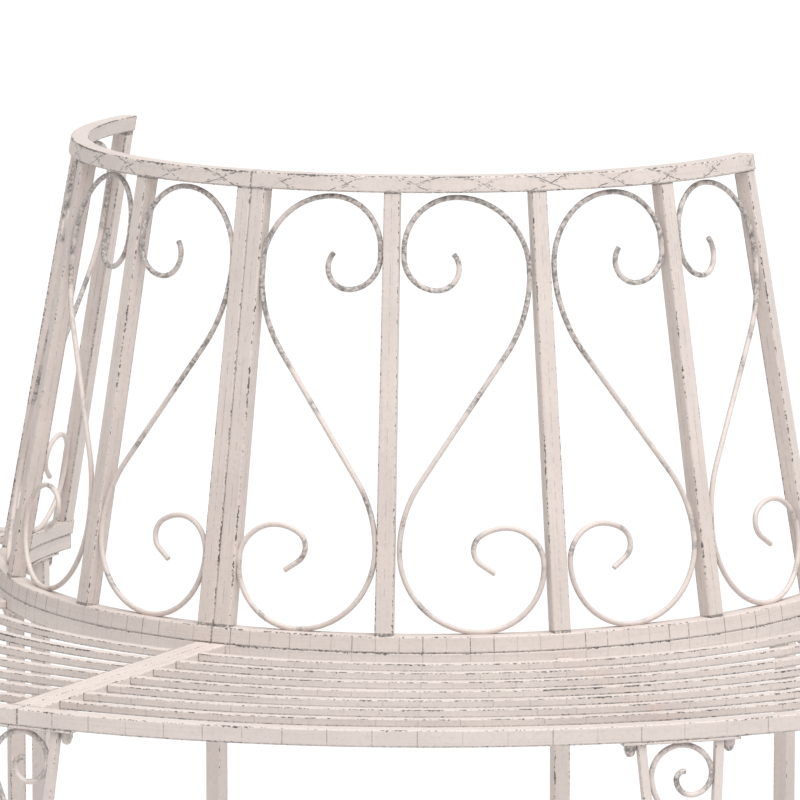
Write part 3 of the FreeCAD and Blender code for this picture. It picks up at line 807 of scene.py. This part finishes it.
def front_bar(angle, side):
    """Slanted bar on one side of a front leg, where side is -1 or 1."""
    section = corner_section(bar_size, bar_size, bar_corner)
    stations = []
    for share in (0, 0.5, 1):
        radius = rim_middle + (front_foot_place - rim_middle) * share
        aside = side * (bar_head_spacing + (bar_foot_spacing - bar_head_spacing) * share) / 2
        height = plate_underside + (front_foot_thickness - plate_underside) * share

        def place(x, y, radius=radius, aside=aside, height=height):
            return place_at(angle, radius + y, height) + tangent(angle) * (aside + x)

        run = share * (plate_underside - front_foot_thickness)
        stations.append((section, place, run, min(share, 1 - share)))
    return lofted("bar", stations, leg_paint)


def round_section(radius, sides=round_sides):
    """Section of a round piece, which has no corners."""
    turns = [2 * pi * n / sides for n in range(sides)]
    return [(radius * cos(turn), radius * sin(turn), (0, 0, 0), no_edge_near) for turn in turns]


def front_foot(angle):
    """Round foot with a small bevel below and a rounded edge above."""
    lower_bevel, rounding = front_foot_bevel / 3, front_foot_bevel * 0.3
    stations = []
    for inside, height in ((lower_bevel, 0), (0, lower_bevel),
                           (0, front_foot_thickness - front_foot_bevel),
                           (rounding, front_foot_thickness - rounding),
                           (front_foot_bevel, front_foot_thickness)):

        def place(x, y, height=height):
            return place_at(angle, front_foot_place, height) + Vector((x, y, 0))

        stations.append((round_section(front_foot_radius - inside), place, height, no_edge_near))
    return lofted("foot", stations, leg_paint)


def joined(name, pieces):
    """Welded pieces of one node as one mesh."""
    first = pieces[0]
    with bpy.context.temp_override(active_object=first, selected_editable_objects=pieces):
        bpy.ops.object.join()
    first.name = name
    first.data.name = name
    return first


# The scroll's bends are in millimetres too, from its highest place to both ends
leg_scroll_top = (1.207, -3.269)
leg_scroll_curl = ((-29.5, 45), (-24.6, 49.197), (-19.6, 85.803), (-14.3, 90), (-7.5, 100))
leg_scroll_stem = ((30.6, 45), (27.35, 49.197), (48, 21), (None, 64.2), (-139.6, 29.394),
                   (-19, 85.803), (-13.391, 85.803), (-9, 114.197))
paths = []
for number, angle in enumerate(front_leg_angles, start=1):
    plate = leg_plate("plate", angle, rim_middle, front_plate_length)
    leg = joined(f"front_leg_frame_{number}",
                 [plate, front_bar(angle, -1), front_bar(angle, 1), front_foot(angle)])
    settle(leg, "leg_paint", f"front_leg_{number}")
    path = walk(leg_scroll_top, 0, leg_scroll_curl)[:0:-1] + walk(leg_scroll_top, 180, leg_scroll_stem)
    paths.append(in_plane(path, place_at(angle, rim_middle, plate_underside), tangent(angle),
                          leaning(angle, front_leg_lean)))
leg_scroll_paint = worn_paint("speckled cream rod paint", patches=(0.12, 0.20, 0.42))
settle(rod_piece("front_leg_scroll_rods", paths, leg_scroll_paint), "scroll_paint",
       "front_leg_scrolls")


# The rear legs: a plate bolted under the ring and a plain square tube that stands in a black
# plastic cap.
rear_leg_place = 0.4355
rear_plate_length = 0.070
rear_leg_corner = 0.0018
cap_wall = 0.002
cap_floor = 0.003
cap_height = 0.016
cap_corner = 0.0024
cap_foot_bevel = 0.0006
cap_lip_bevel = 0.0008
rear_leg_angles = (-82, -45, 0, 45, 82)


def upright(name, angle, levels, finish):
    """Square body on a rear leg's place: half width, corner and height of each level."""
    stations = []
    for half, corner, height in levels:
        def place(x, y, height=height):
            return place_at(angle, rear_leg_place + y, height) + tangent(angle) * x

        stations.append((corner_section(2 * half, 2 * half, corner), place, height,
                         abs(plate_underside - height)))
    return lofted(name, stations, finish)


def moulded_plastic():
    """Black injection-moulded plastic: even and dull, with faint scuffs and dust."""
    material, tree, shader = new_material("black cap plastic")
    place = node(tree, "ShaderNodeTexCoord").outputs["Object"]
    scuff = node(tree, "ShaderNodeTexNoise", {"Vector": place, "Scale": 180.0, "Detail": 4.0})
    colour = mixed(tree, ramp(tree, scuff, 0.5, 0.75), paint("#1E1D1D"), paint("#3A3837"))
    tree.links.new(colour, shader["Base Color"])
    tree.links.new(ramp(tree, scuff, 0.3, 0.8, 0.45, 0.65).outputs[0], shader["Roughness"])
    bump = node(tree, "ShaderNodeBump", {"Height": scuff, "Strength": 0.15, "Distance": 0.0002})
    tree.links.new(bump.outputs[0], shader["Normal"])
    return material


cap_plastic = moulded_plastic()
caps = []
for number, angle in enumerate(rear_leg_angles, start=1):
    half = seat_tube / 2
    leg = joined(f"rear_leg_tube_{number}",
                 [leg_plate("plate", angle, ring_middle, rear_plate_length),
                  upright("tube", angle, ((half, rear_leg_corner, cap_floor),
                                          (half, rear_leg_corner, plate_underside / 2),
                                          (half, rear_leg_corner, plate_underside)), leg_paint)])
    settle(leg, "leg_paint", f"rear_leg_{number}")
    wide = half + cap_wall
    caps.append(upright("cap", angle, ((wide - cap_foot_bevel, rear_leg_corner, 0),
                                       (wide, cap_corner, cap_foot_bevel),
                                       (wide, cap_corner, cap_height - cap_lip_bevel),
                                       (wide - cap_lip_bevel, rear_leg_corner, cap_height),
                                       (half, rear_leg_corner, cap_height),
                                       (half, rear_leg_corner, cap_floor)), cap_plastic))
settle(joined("rear_leg_cap_set", caps), "cap_plastic", "rear_leg_caps")


# The fasteners: threaded studs under the frame and domed cap nuts that hold the leg plates to
# them, brushed over with the same paint. Two stand in every plate.
stud_radius = 0.003
nut_across_flats = 0.010
nut_hex_height = 0.006
nut_neck_height = 0.0013
nut_dome_radius = 0.0047
nut_bore_depth = 0.008
stud_end_clearance = 0.0005
stud_sides = 24
stud_bevel = 0.0004
nut_bevel = 0.0003
nut_shoulder_bevel = 0.0005
nut_top_cut = 0.04
nut_shoulder_cut = 0.06
nut_dome_angles = (0, 15, 30, 45, 60, 75, 86)
front_nut_spacing = 0.095
rear_nut_spacing = 0.048

on_points = new_tree("copies on points", (("Pattern", "Object"), ("Places", "Object"),
                                          ("Finish", "Material")))
sizes = node(on_points, "NodeGroupInput").outputs
pattern_info = node(on_points, "GeometryNodeObjectInfo", {"Object": sizes["Pattern"]})
places_info = node(on_points, "GeometryNodeObjectInfo", {"Object": sizes["Places"]})
turn = node(on_points, "GeometryNodeInputNamedAttribute", {"Name": "turn"}, data_type="FLOAT_VECTOR")
turn = node(on_points, "FunctionNodeEulerToRotation", {0: turn.outputs["Attribute"]})
copies = node(on_points, "GeometryNodeInstanceOnPoints",
              {"Points": places_info.outputs["Geometry"], "Rotation": turn,
               "Instance": pattern_info.outputs["Geometry"]})
close_tree(on_points, copies, sizes["Finish"])

fastener_paint = worn_paint("worn cream nut paint", patches=(0.14, 0.30, 0.42))
places_mesh = bpy.data.meshes.new("places")
nut_places = []
for angles, middle, spacing in ((front_leg_angles, rim_middle, front_nut_spacing),
                                (rear_leg_angles, ring_middle, rear_nut_spacing)):
    for angle in angles:
        for side in (-1, 1):
            nut_places.append((middle, angle + side * spacing / 2 / middle * 180 / pi))
places_mesh.from_pydata([place_at(angle, middle, frame_bottom) for middle, angle in nut_places],
                        [], [])
places_mesh.attributes.new("turn", "FLOAT_VECTOR", "POINT").data.foreach_set(
    "vector", [c for _, angle in nut_places for c in (0, 0, radians(angle))])
places = bpy.data.objects.new("places", places_mesh)
bpy.context.collection.objects.link(places)


def hexagon(flats, corner_cut=0.0):
    """Hexagon with eight points to a side, so that it lofts onto a circle. A cut takes its
    corners back by a share of half its width."""
    points = []
    reach = flats / 2
    for n in range(round_sides):
        turn = 360 * n / round_sides
        aside = (turn % 60) - 30
        radius = min(reach / cos(radians(aside)), reach * (1 / cos(radians(30)) - corner_cut))
        spoke = radians(turn - 90)
        points.append((radius * cos(spoke), radius * sin(spoke), (0, 0, 0), no_edge_near))
    return points


def level_ring(section, height):
    """Level section of a fastener, as a station for lofting."""
    return section, lambda x, y: Vector((x, y, height)), 0, no_edge_near


top = -plate_thickness
shoulder = top - nut_hex_height
neck = shoulder - nut_neck_height
nut_rings = [level_ring(hexagon(nut_across_flats, nut_top_cut), top),
             level_ring(hexagon(nut_across_flats), top - nut_bevel),
             level_ring(hexagon(nut_across_flats), shoulder + nut_shoulder_bevel),
             level_ring(hexagon(nut_across_flats, nut_shoulder_cut), shoulder),
             level_ring(round_section(nut_dome_radius), shoulder)]
for rise_angle in nut_dome_angles:
    nut_rings.append(level_ring(round_section(nut_dome_radius * cos(radians(rise_angle))),
                                neck - nut_dome_radius * sin(radians(rise_angle))))
nut_pattern = lofted("nut", nut_rings, fastener_paint)
stud_length = plate_thickness + nut_bore_depth - stud_end_clearance
stud_end = round_section(stud_radius - stud_bevel, stud_sides)
stud_side = round_section(stud_radius, stud_sides)
stud_rings = [level_ring(stud_end, -stud_length), level_ring(stud_side, stud_bevel - stud_length),
              level_ring(stud_side, 0)]
stud_pattern = lofted("stud", stud_rings, fastener_paint)
for pattern, name, cad_node in ((nut_pattern, "cap_nut_set", "leg_cap_nuts"),
                                (stud_pattern, "stud_set", "leg_studs")):
    copies = from_tree(name, on_points, {"Pattern": pattern, "Places": places,
                                         "Finish": fastener_paint})
    settle(copies, "fastener_paint", cad_node)
    bpy.data.objects.remove(pattern)
bpy.data.objects.remove(places)


# The floor and the light: a pale studio floor that runs on past the view, a bright even
# surround, and one broad light high on the right.
floor_size = 80.0
surround_strength = 0.35
key_strength = 3.55
key_elevation = 68
key_azimuth = 58
key_spread = 70
floor_mesh = bpy.data.meshes.new("floor")
floor_mesh.from_pydata([(-floor_size, -floor_size, 0), (floor_size, -floor_size, 0),
                        (floor_size, floor_size, 0), (-floor_size, floor_size, 0)],
                       [], [(0, 1, 2, 3)])
floor = bpy.data.objects.new("floor", floor_mesh)
bpy.context.collection.objects.link(floor)
floor_paint, _, floor_shader = new_material("pale studio floor")
floor_shader["Base Color"].default_value = paint("#E4E4E4")
floor_shader["Roughness"].default_value = 0.9
floor_shader["Specular IOR Level"].default_value = 0.1
floor_mesh.materials.append(floor_paint)

world = bpy.data.worlds.new("studio")
bpy.context.scene.world = world
world.use_nodes = True
surround = world.node_tree.nodes["Background"].inputs
surround["Color"].default_value = paint("#FFFFFF")
surround["Strength"].default_value = surround_strength

key_data = bpy.data.lights.new("key", "SUN")
key_data.energy = key_strength
key_data.angle = radians(key_spread)
key = bpy.data.objects.new("key", key_data)
key.rotation_euler = (radians(90 - key_elevation), 0, radians(key_azimuth))
bpy.context.collection.objects.link(key)
